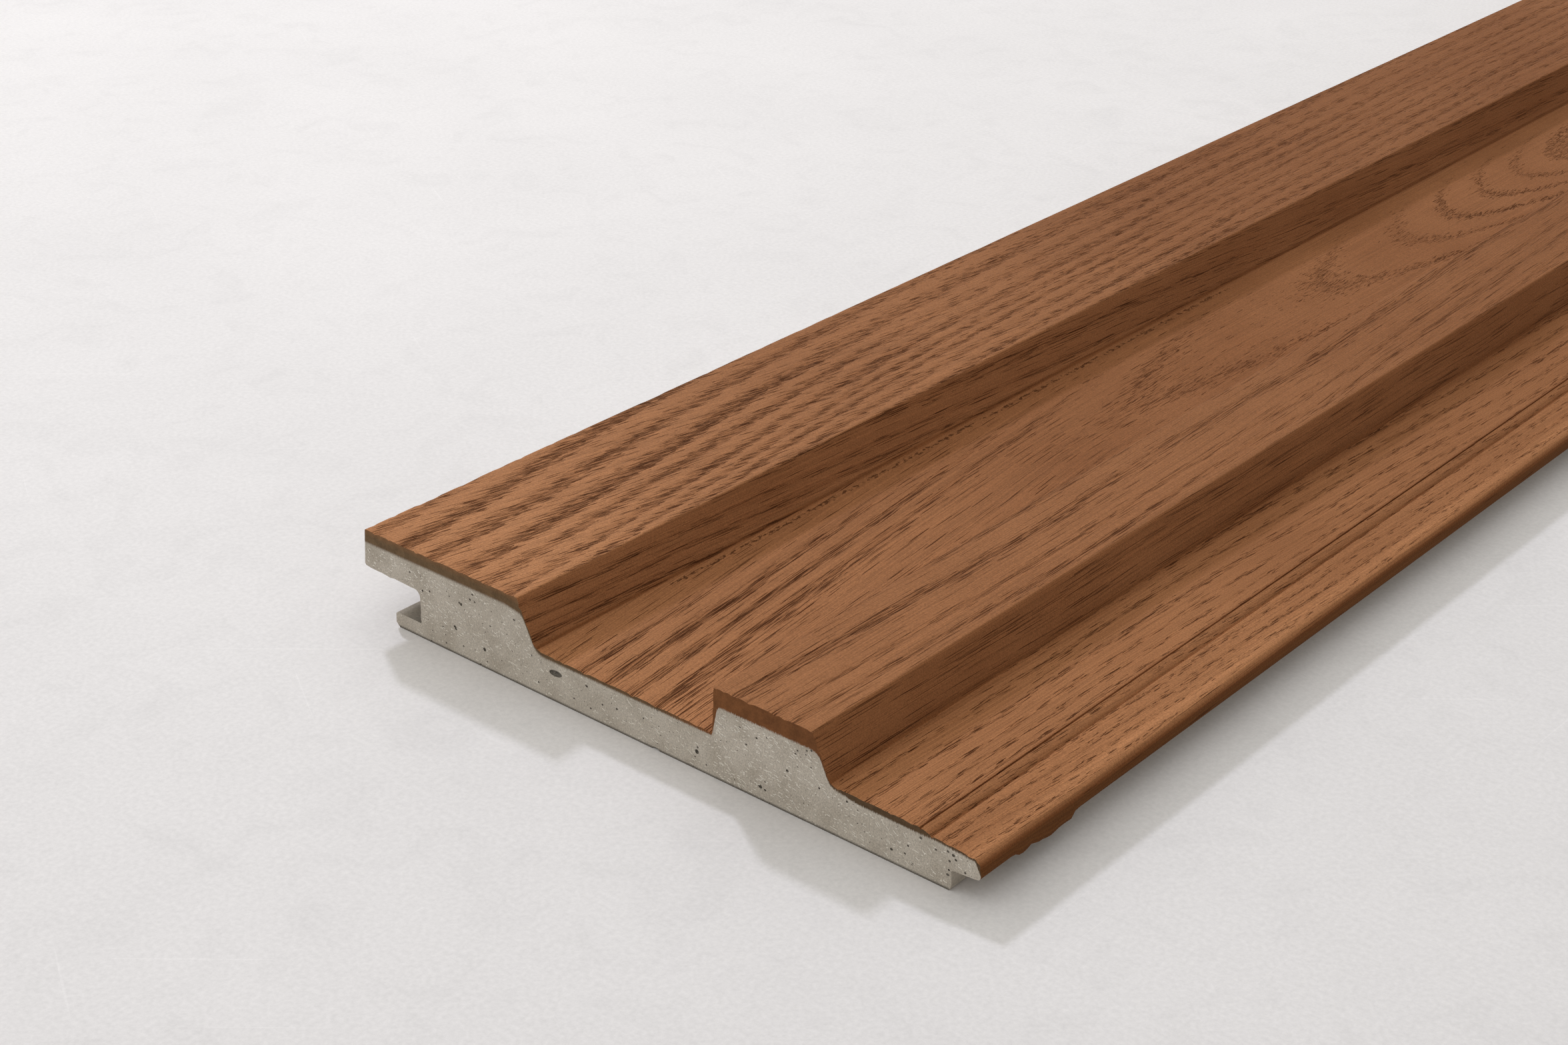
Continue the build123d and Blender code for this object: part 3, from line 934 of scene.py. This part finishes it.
def fibreFleckTree(material):
    tree, add, given = makeTree("fibreFlecks", fibreFleckSizes)
    where = add("GeometryNodeInputPosition")
    cloud = add("TexNoise", {"Vector": where, "Scale": given["Cluster Size"], "Detail": 2.0})
    crowd = add("MapRange", {"Value": cloud, "From": (0.46, 0.68), "To": (0.05, 1.0)})
    density = add("Math MULTIPLY", [crowd, given["Density"]])
    anywhere = add("GeometryNodeDistributePointsOnFaces", {
        "Mesh": given["Mesh"], "Density": density, "Seed": given["Seed"]})
    outline = add("GeometryNodeProximity", {"Geometry": given["Mesh"]}, target_element="EDGES")
    tooNear = add("FunctionNodeCompare", {"A": outline.outputs["Distance"], "B": given["Edge"]},
                  operation="LESS_THAN")
    spread = add("GeometryNodeDeleteGeometry", {"Geometry": anywhere, "Selection": tooNear}, domain="POINT")
    bar = add("GeometryNodeMeshCube", {"Size": (1.0, 1.0, 1.0)})
    lengths = add("FunctionNodeRandomValue", {"Min": given["Shortest"], "Max": given["Longest"],
                                              "Seed": given["Seed"]})
    size = add("CombineXYZ", [lengths, given["Depth"], given["Thickness"]])
    luck = add("FunctionNodeRandomValue", {"Min": -1.0, "Max": 1.0, "Seed": given["Seed"]})
    mostlyLevel = add("Math POWER", [luck, 3.0])
    angle = add("Math MULTIPLY_ADD", [mostlyLevel, given["Lean"], given["Least Lean"]])
    turn = add("CombineXYZ", {"Y": angle})
    flecks = add("GeometryNodeInstanceOnPoints", {"Points": spread, "Instance": bar, "Rotation": turn,
                                                  "Scale": size})
    endTree(add, flecks, material)
    return tree


def pieceFromTree(name, source, tree, sizes):
    # runs a node tree on a copy of a mesh
    piece = bpy.data.objects.new(name, source.copy())
    bpy.context.collection.objects.link(piece)
    modifier = piece.modifiers.new(name, "NODES")
    modifier.node_group = tree
    for socket in tree.interface.items_tree:
        if socket.in_out == "INPUT" and socket.name in sizes:
            modifier[socket.identifier] = sizes[socket.name]
    makePlain(piece)
    print(name, len(piece.data.polygons), "faces")
    return piece


def makeBoardCore(materials):
    v = boardCoreValues
    bond, under = [roundedLine(section[name], v["pitch"]) for name in ("bond", "back")]
    outline = np.concatenate([bond[:-1, :2], under[:-1, :2]])
    count = len(outline)
    rows = gradedRows(v["recess"], length, v["rowSteps"])
    shape = np.gradient(np.concatenate([outline[-1:], outline, outline[:1]]), axis=0)[1:-1]
    inward = np.stack([-shape[:, 1], shape[:, 0]], 1) / np.hypot(*shape.T)[:, None]
    run = np.concatenate([[0], np.cumsum(np.hypot(*np.diff(outline, axis=0).T))])
    # the bonded line stays as it is, and the sides are uneven and chipped at the cut
    steps = np.arange(count)
    free = np.clip(np.minimum(steps - len(bond) - 1, count - 2 - steps) / 3, 0, 1)
    u, y = np.meshgrid(run, rows)
    depth, width, bump = v["uneven"]
    worn = depth * (0.5 + 0.5 * smoothNoise(31, u / width, y / bump))
    depth, width, bump, limit = v["chips"]
    chip = overLimit(limit, 32, u / width, y / bump) * depth * np.exp(-y / v["chipReach"])
    drop = (worn + chip) * free
    # the flat back stays flat, and only its sawn edge lifts
    flat = outline[:, 1] < 0.01
    drop[:, flat] = (v["baseLift"] * np.clip(v["liftedLength"] - y, 0, 1) + chip)[:, flat]
    points = np.zeros((len(rows), count, 3))
    points[..., 0] = outline[:, 0] + inward[:, 0] * drop
    points[..., 1] = front + y
    points[..., 2] = np.maximum(outline[:, 1] + inward[:, 1] * drop, base)
    faces = [(r + c, r + (c + 1) % count, r + (c + 1) % count + count, r + c + count)
             for r in range(0, (len(rows) - 1) * count, count) for c in range(count)]
    faces.append(tuple(range(count))[::-1])
    faces.append(tuple(range(len(rows) * count - count, len(rows) * count)))
    core = newPiece("boardCore", points, faces, materials)
    for face in core.data.polygons[-2:]:
        face.material_index = 1

    # the cut end by itself, with a loose point for each listed void
    marks = [(x, front + v["recess"], z) for x, z, *rest in handVoids]
    cutEnd = newPiece("cutEnd", [*points[0], *marks], [tuple(range(count))[::-1]])
    end = cutEnd.data
    size, turn = [end.attributes.new(name, "FLOAT_VECTOR", "POINT") for name in ("size", "turn")]
    for i, (x, z, halfWidth, halfHeight, lean) in enumerate(handVoids):
        size.data[count + i].vector = (halfWidth / 1000, halfHeight * 1.1 / 1000, halfHeight / 1000)
        turn.data[count + i].vector = (0, math.radians(lean), 0)
    cutter = pieceFromTree("airPoreCutter", end, airPoreTree(poreWall()), airPoreSizes)
    flecks = pieceFromTree("fibreFlecks", end, fibreFleckTree(glassFibre()), fibreFleckSizes)

    cut = core.modifiers.new("airPores", "BOOLEAN")
    cut.object, cut.operation, cut.solver = cutter, "DIFFERENCE", "EXACT"
    cut.use_self, cut.material_mode = True, "TRANSFER"
    makePlain(core)
    for helper in (cutter, cutEnd):
        bpy.data.objects.remove(helper)
    core.data.shade_smooth()
    core.data.set_sharp_from_angle(angle=math.radians(v["sharpAngle"]))
    print("boardCore", sum(len(face.vertices) - 2 for face in core.data.polygons), "triangles")
    return core, flecks


poreFinish = {
    # painted shade: far darker than the resin, standing in for the shade inside a pore
    "dark": "#5A544C",
    "dusty": "#8A8377",
    "dustScale": 2600.0,  # bumps to a metre, 0.4 mm
    "dustFrom": (0.4, 0.66),
    "roughness": 0.7,
    "ior": 1.5,
    "bump": 0.00005,
}


def poreWall():
    # the skin of a bubble in the resin: glassy grey, painted dark for the shade inside the pore, with the
    # saw's dust caught in it
    v = poreFinish
    material, add, place = newMaterial("resinAirPore")
    dust = add("TexNoise", {"Vector": place, "Scale": v["dustScale"], "Detail": 2.0})
    dusty = add("MapRange", {"Value": dust, "From": v["dustFrom"]})
    colour = add("Mix RGBA", {"Factor": dusty, "A": v["dark"], "B": v["dusty"]})
    finishMaterial(add, {"Base Color": colour, "Roughness": v["roughness"], "IOR": v["ior"]}, dust, v["bump"])
    return material


fibreFinish = {
    "dusty": "#CFC7B9",
    "bright": "#FAF6EC",
    "patchScale": 700.0,  # bumps to a metre, 1.4 mm
    "roughness": 0.5,
    "ior": 1.5,
}


def glassFibre():
    # chopped white fibre, left bright where the saw drew it out of the resin
    v = fibreFinish
    material, add, place = newMaterial("choppedGlassFibre")
    luck = add("TexNoise", {"Vector": place, "Scale": v["patchScale"], "Detail": 1.0})
    colour = add("Mix RGBA", {"Factor": luck, "A": v["dusty"], "B": v["bright"]})
    finishMaterial(add, {"Base Color": colour, "Roughness": v["roughness"], "IOR": v["ior"]})
    return material


mouldedCoreFinish = {  # scales are bumps to a metre
    "lineScale": (1400.0, 22.0, 1400.0),
    "gritScale": 1500.0,  # 0.7 mm
    "gritShade": (0.85, 1.1),
    "cloudScale": 30.0,  # 33 mm
    "lineShare": 0.6,  # of the drawn lines in its stain
    "stainFrom": (0.55, 1.05),
    "grooveRoot": left + 20.9,  # the groove is painted darker, more towards its root: a painted shade under the upper lip
    "grooveDepth": 11.0,
    "grooveFloor": 2.0,
    "dirt": 0.42,
    "pitScale": 190.0,  # 5 mm apart
    "pitRound": (0.05, 0.11),
    "pitDepth": 0.35,
    "lineDepth": 0.09,
    "gritDepth": 0.05,
    "roughness": 0.8,
}


def mineralCore():
    # the moulded and planed sides: smoother and a little paler, with drawn lines along the board
    v = mouldedCoreFinish
    material, add, place = newMaterial("mouldedMineralCore")
    linePlace = add("VectorMath MULTIPLY", [place, v["lineScale"]])
    lines = add("TexNoise", {"Vector": linePlace, "Scale": 1.0, "Detail": 3.0})
    grit = add("TexNoise", {"Vector": place, "Scale": v["gritScale"], "Detail": 3.0})
    cloud = add("TexNoise", {"Vector": place, "Scale": v["cloudScale"], "Detail": 5.0})
    shade = add("MapRange", {"Value": grit, "From": middle, "To": v["gritShade"]})
    mixed = add("Math MULTIPLY_ADD", [lines, v["lineShare"], cloud])
    share = add("MapRange", {"Value": mixed, "From": v["stainFrom"]})
    greys = add("Mix RGBA", {"Factor": share, "A": cutFinish["resin"], "B": cutFinish["stain"]})
    # painted shade: the groove under the upper lip is painted darker towards its root, where the lip shades
    # it
    axes = add("SeparateXYZ", [place])
    root = v["grooveRoot"] / 1000
    inside = add("MapRange", {"Value": axes.outputs["X"], "From": (root - v["grooveDepth"] / 1000, root)})
    raised = add("Math GREATER_THAN", [axes.outputs["Z"], v["grooveFloor"] / 1000])
    isLeft = add("Math LESS_THAN", [axes.outputs["X"], root + 0.001])
    dirt = add("Math MULTIPLY", [inside, add("Math MULTIPLY", [raised, isLeft])])
    clean = add("MapRange", {"Value": dirt, "To": (1.0, v["dirt"])})
    colour = add("VectorMath SCALE", {0: greys, "Scale": add("Math MULTIPLY", [shade, clean])})
    pits = add("TexVoronoi", {"Vector": place, "Scale": v["pitScale"]})
    height = add("MapRange SMOOTHSTEP", {"Value": pits.outputs["Distance"], "From": v["pitRound"],
                                         "To": (-v["pitDepth"], 0.0)})
    for layer, depth in ((lines, v["lineDepth"]), (grit, v["gritDepth"])):
        height = add("Math MULTIPLY_ADD", [layer, depth, height])
    finishMaterial(add, {"Base Color": colour, "Roughness": v["roughness"], "IOR": cutFinish["ior"],
                         "Specular IOR Level": cutFinish["gloss"]}, height)
    return material


# The studio: a pale floor with a painted pool of light, a low key light from behind on the left, a large soft
# light above

studio = {
    "floorHalf": 60.0,
    "floorColour": "#E6E3E2",
    "floorRoughness": 0.75,
    # painted light: the centre of a pool of light painted on the floor
    "poolCentre": (-1.3, -1.4, 0.0),  # the floor is palest here, and greyer further out
    "poolRun": (0.6, 1.8),  # metres from there
    "poolShade": (1.16, 0.92),
    "floorMarks": (  # faint clouds, smudges and grit: the noise, where it counts, and the shade it gives
        ({"Scale": 9.0, "Detail": 6.0, "Roughness": 0.6}, (0.3, 0.7), (0.975, 1.025)),
        ({"Scale": 55.0, "Detail": 5.0, "Distortion": 1.2}, (0.5, 0.75), (1.0, 0.955)),
        ({"Scale": 750.0, "Detail": 3.0, "Roughness": 0.7}, (0.3, 0.7), (0.93, 1.05)),
    ),
    "scratches": ((0.5, (14.0, 900.0, 1.0)), (-0.7, (10.0, 800.0, 1.0)), (1.6, (12.0, 1000.0, 1.0))),
    "scratchLimit": (0.74, 0.8),
    "scratchShade": (1.0, 1.05),
    "keyWay": (-0.71, 0.43, 0.555),
    "keySpread": 4.2,  # degrees, which sets how soft its shadows are
    "keyPower": 1.12,
    "keyColour": "#EFF1FF",
    "roomWay": (-0.85, 0.2, 0.48),
    "roomLight": (0.21, 1.075),  # away from there, and towards it
    "roomColour": "#FFFEFA",
    "cameraPlace": (0.36656, -2.17507, 0.32964),
    "cameraTilt": 62.753,
    "cameraTurn": 40.713,
    "cameraLens": 58.93,
    "sensorWidth": 36.0,
}


def paintedFloor():
    # worn matt paint: nearly white, with no gloss to catch the light, and a painted pool of light
    v = studio
    material, add, place = newMaterial("paintedFloor")
    # painted light: the floor is painted palest round one place and greyer further out, a pool of light
    out = add("VectorMath DISTANCE", [place, v["poolCentre"]])
    marks = add("MapRange SMOOTHSTEP", {"Value": out.outputs["Value"], "From": v["poolRun"],
                                        "To": v["poolShade"]})
    for pattern, limits, shades in v["floorMarks"]:
        noise = add("TexNoise", {"Vector": place, **pattern})
        mark = add("MapRange", {"Value": noise, "From": limits, "To": shades})
        marks = add("Math MULTIPLY", [marks, mark])
    for turn, stretch in v["scratches"]:
        turned = add("VectorRotate", {"Vector": place, "Angle": turn}, rotation_type="Z_AXIS")
        drawn = add("VectorMath MULTIPLY", [turned, stretch])
        line = add("TexNoise", {"Vector": drawn, "Scale": 1.0, "Detail": 1.0})
        scratch = add("MapRange", {"Value": line, "From": v["scratchLimit"], "To": v["scratchShade"]})
        marks = add("Math MULTIPLY", [marks, scratch])
    colour = add("VectorMath SCALE", {0: v["floorColour"], "Scale": marks})
    finishMaterial(add, {"Base Color": colour, "Roughness": v["floorRoughness"]})
    return material


def makeStudio():
    v = studio
    half = v["floorHalf"] * 1000
    corners = [(-half, -half, 0), (half, -half, 0), (half, half, 0), (-half, half, 0)]
    floor = newPiece("studioFloor", corners, [(0, 1, 2, 3)], [paintedFloor()])

    key = bpy.data.objects.new("keyLight", bpy.data.lights.new("keyLight", "SUN"))
    key.data.angle = math.radians(v["keySpread"])
    key.data.energy = v["keyPower"]
    key.data.color = toLinear(v["keyColour"])[:3]
    key.rotation_euler = Vector(v["keyWay"]).normalized().to_track_quat("Z", "Y").to_euler()

    world = bpy.data.worlds.new("studioRoom")
    world.use_nodes = True
    add = partial(addNode, world.node_tree)
    look = add("TexCoord").outputs["Generated"]
    side = add("VectorMath DOT_PRODUCT", [look, v["roomWay"]])
    level = add("MapRange", {"Value": side.outputs["Value"], "From": (-1.0, 1.0), "To": v["roomLight"]})
    background = world.node_tree.nodes["Background"].inputs
    world.node_tree.links.new(level.outputs[0], background["Strength"])
    background["Color"].default_value = toLinear(v["roomColour"])

    camera = bpy.data.objects.new("camera", bpy.data.cameras.new("camera"))
    camera.data.lens = v["cameraLens"]
    camera.data.sensor_width = v["sensorWidth"]
    camera.location = v["cameraPlace"]
    camera.rotation_euler = (math.radians(v["cameraTilt"]), 0, math.radians(v["cameraTurn"]))
    for thing in (key, camera):
        bpy.context.collection.objects.link(thing)
    scene = bpy.context.scene
    scene.world = world
    scene.camera = camera
    scene.view_settings.view_transform = "Standard"
    print("studio ready")


makeStudio()
faceSkin = makeFaceSkin([elastomerSkin(), cutFace("sawnElastomerSkin")])
boardCore, fibreFlecks = makeBoardCore([mineralCore(), cutFace("sawnMineralCore")])

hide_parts("face_skin")
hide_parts("core")
for piece, slot in ((faceSkin, "skin"), (boardCore, "core"), (fibreFlecks, "core")):
    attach(piece, "root")
